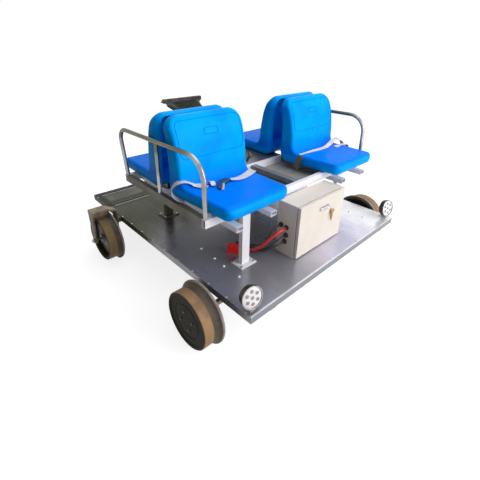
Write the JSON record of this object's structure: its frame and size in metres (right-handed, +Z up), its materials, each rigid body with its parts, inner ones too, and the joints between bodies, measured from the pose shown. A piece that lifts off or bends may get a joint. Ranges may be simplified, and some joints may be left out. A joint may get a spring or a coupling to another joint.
{
  "type": "electric rail trolley",
  "caption": "Light electric rail trolley: a flat sheet deck on flanged wheels, with back to back seats on a tube frame, handrails, a control cabinet, work lamps and a rear console.",
  "frame": {"origin": "on the floor below the middle of the deck, which is level with the underside of the wheel flanges", "axes": "+X forward, to the cabinet and the lamps; +Y to the left, along the axles; +Z up"},
  "size_m": [1.6, 1.68, 0.994],
  "materials": {
    "deck_sheet": "worn",
    "olive_sheet": "satin",
    "frame_tube": "satin",
    "dark_frame": "satin",
    "wheel_rust": "rusty",
    "axle_steel": "worn",
    "motor_case": "satin",
    "hanger_paint": "worn",
    "seat_vinyl": "gloss",
    "slide_black": "satin",
    "rail_steel": "satin",
    "cabinet_paint": "satin",
    "lock_chrome": "polished",
    "gland_plastic": "matte",
    "lamp_case": "satin",
    "console_black": "satin",
    "red_jacket": "matte",
    "black_jacket": "matte",
    "red_housing": "matte"
  },
  "bodies": {
    "chassis": {"deck_plate": "deck_sheet", "rear_strip_panel": "olive_sheet", "sills": "dark_frame", "cross_members": "dark_frame", "front_bearings": "dark_frame", "rear_hanger_left": "hanger_paint", "rear_hanger_right": "hanger_paint", "frame_side_rails": "frame_tube", "frame_crossbars": "frame_tube", "frame_inner_rails": "frame_tube", "front_bay_tray": "olive_sheet", "rear_bay_lid": "deck_sheet", "front_posts": "frame_tube", "rear_posts": "frame_tube", "seat_runners": "frame_tube", "seat_slides_left": "slide_black", "seat_slides_right": "slide_black", "front_seat_left": "seat_vinyl", "front_seat_right": "seat_vinyl", "rear_seat_left": "seat_vinyl", "rear_seat_right": "seat_vinyl", "handrail_left": "rail_steel", "handrail_right": "rail_steel", "cabinet_body": "cabinet_paint", "cable_glands": "gland_plastic", "front_lamp_left": "lamp_case", "front_lamp_right": "lamp_case", "console_column": "console_black", "console_housing": "console_black", "red_cable": "red_jacket", "upper_black_cable": "black_jacket", "lower_black_cable": "black_jacket", "rear_black_cable": "black_jacket", "red_connector": "red_housing", "black_connector": "gland_plastic", "small_connector": "gland_plastic"},
    "front_wheelset": {"front_wheel_left": "wheel_rust", "front_wheel_right": "wheel_rust", "front_axle": "axle_steel"},
    "rear_wheel_left_body": {"rear_wheel_left": "wheel_rust", "rear_motor_left": "motor_case"},
    "rear_wheel_right_body": {"rear_wheel_right": "wheel_rust", "rear_motor_right": "motor_case"},
    "door": {"cabinet_door": "cabinet_paint", "cabinet_lock": "lock_chrome"}
  },
  "joints": [
    {"name": "front_wheelset_spin", "type": "hinge", "parent": "chassis", "child": "front_wheelset", "pos_m": [0.536, 0, 0.16], "axis": [0, 1, 0], "continuous": true},
    {"name": "rear_left_spin", "type": "hinge", "parent": "chassis", "child": "rear_wheel_left_body", "pos_m": [-0.394, 0.74, 0.16], "axis": [0, 1, 0], "continuous": true},
    {"name": "rear_right_spin", "type": "hinge", "parent": "chassis", "child": "rear_wheel_right_body", "pos_m": [-0.394, -0.74, 0.16], "axis": [0, 1, 0], "continuous": true},
    {"name": "cabinet_door_hinge", "type": "hinge", "parent": "chassis", "child": "door", "pos_m": [0.668, 0.005, 0.292], "axis": [0, 1, 0], "range_deg": [0, 90]}
  ]
}
